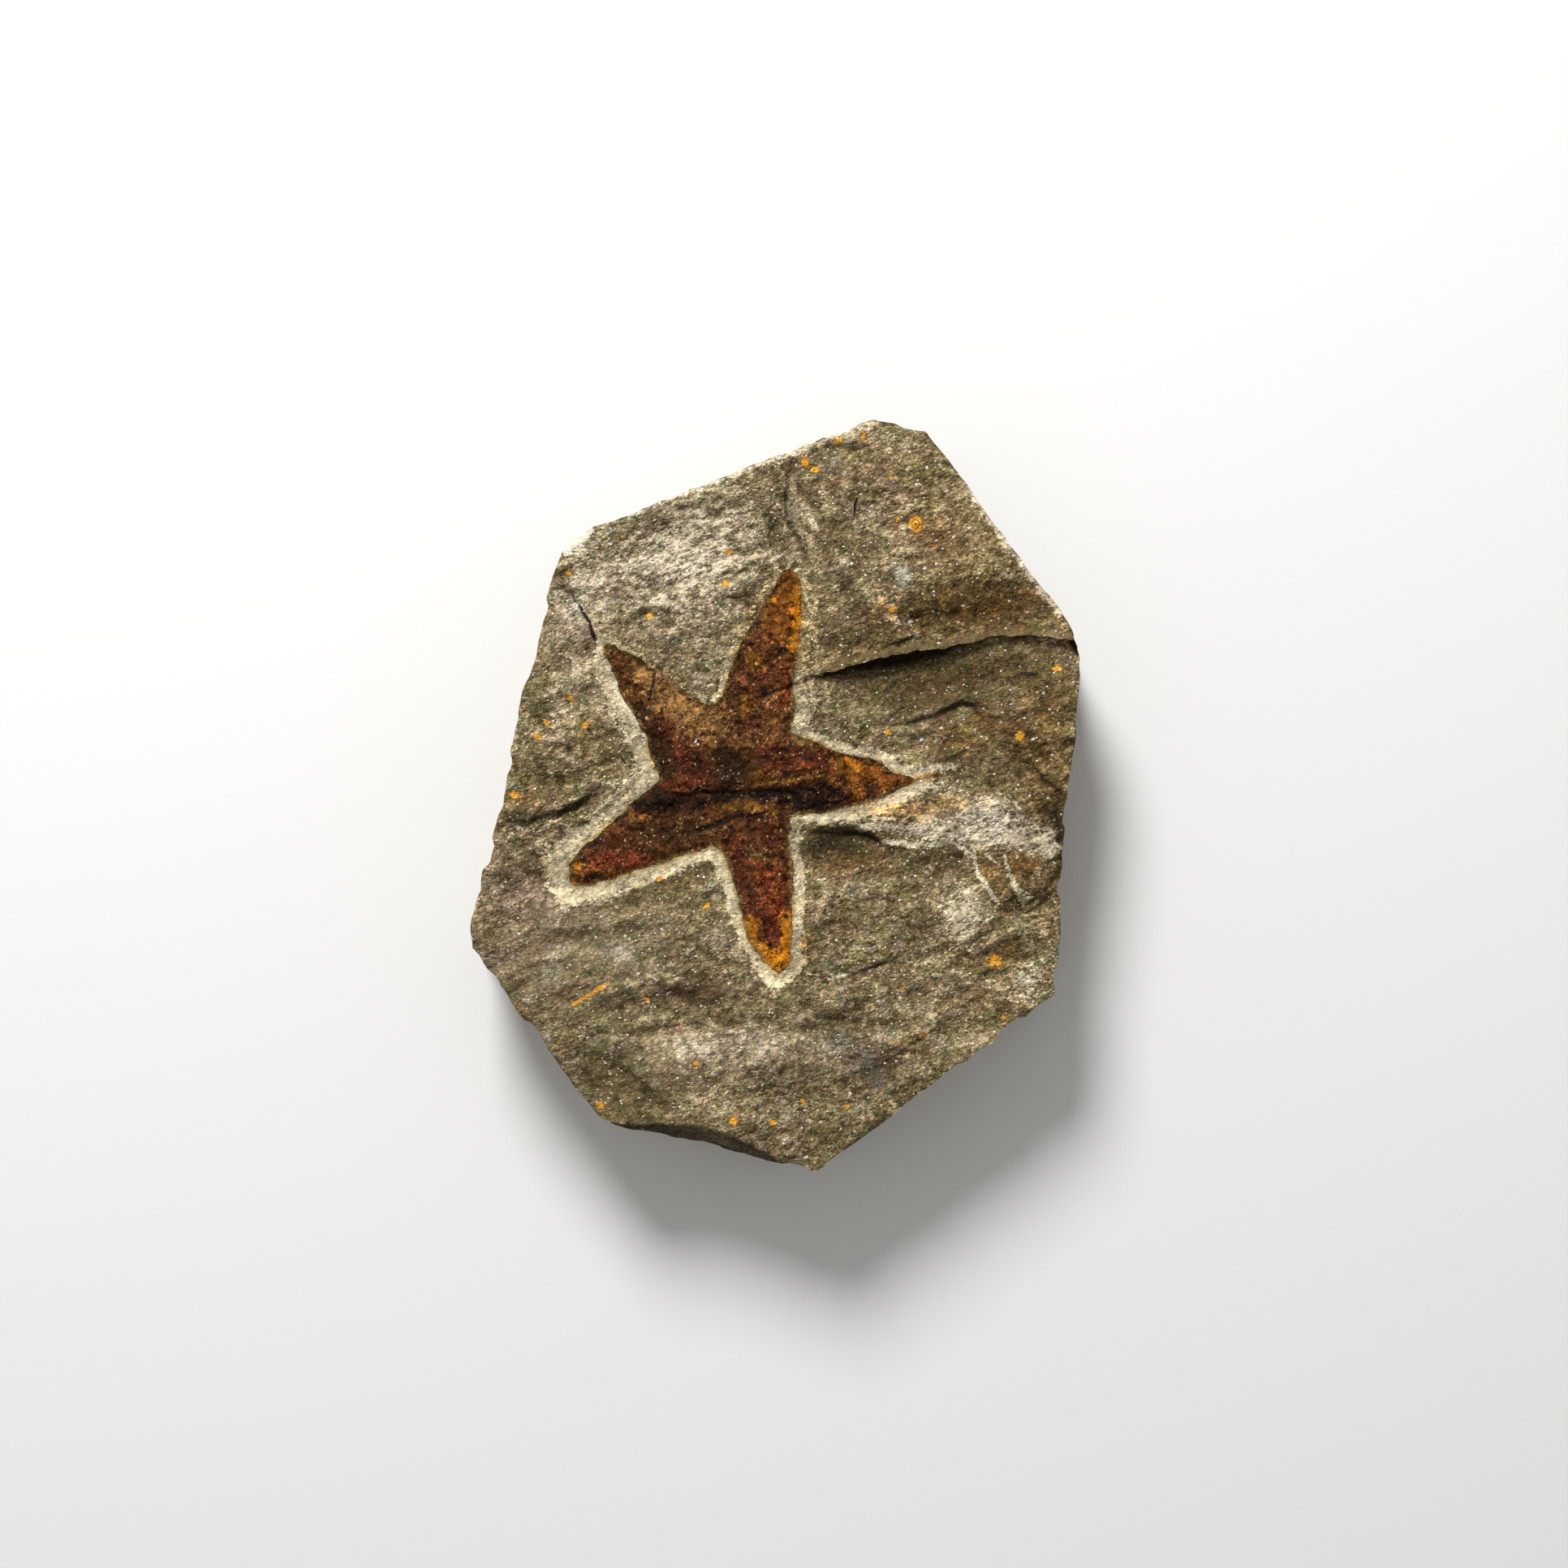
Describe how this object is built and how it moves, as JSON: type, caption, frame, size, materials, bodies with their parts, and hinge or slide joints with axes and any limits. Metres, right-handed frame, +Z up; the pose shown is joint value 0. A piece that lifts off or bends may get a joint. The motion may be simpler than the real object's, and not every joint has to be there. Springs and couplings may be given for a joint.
{
  "type": "fossil starfish in a stone slab",
  "caption": "Rust-brown fossil starfish lying in a shallow scraped moat on the split face of a loose, trimmed slab of grey-olive mica-bearing sandstone.",
  "frame": {"origin": "middle of the slab's outline box, on its flat underside", "axes": "+Z up out of the fossil face; +Y along the slab, from the chipped end to the end that the top arm points to; +X across the slab, to the right seen from above"},
  "size_m": [0.0647, 0.0797, 0.014],
  "materials": {
    "matrix_stone": "matt, gritty split sandstone with fine mica glints; scraped pale round the fossil",
    "fossil_mineral": "sugary iron-oxide mineral, maroon to orange, with a faint waxy glint"
  },
  "bodies": {
    "root": {"matrix_slab": "matrix_stone", "starfish": "fossil_mineral"}
  },
  "joints": []
}
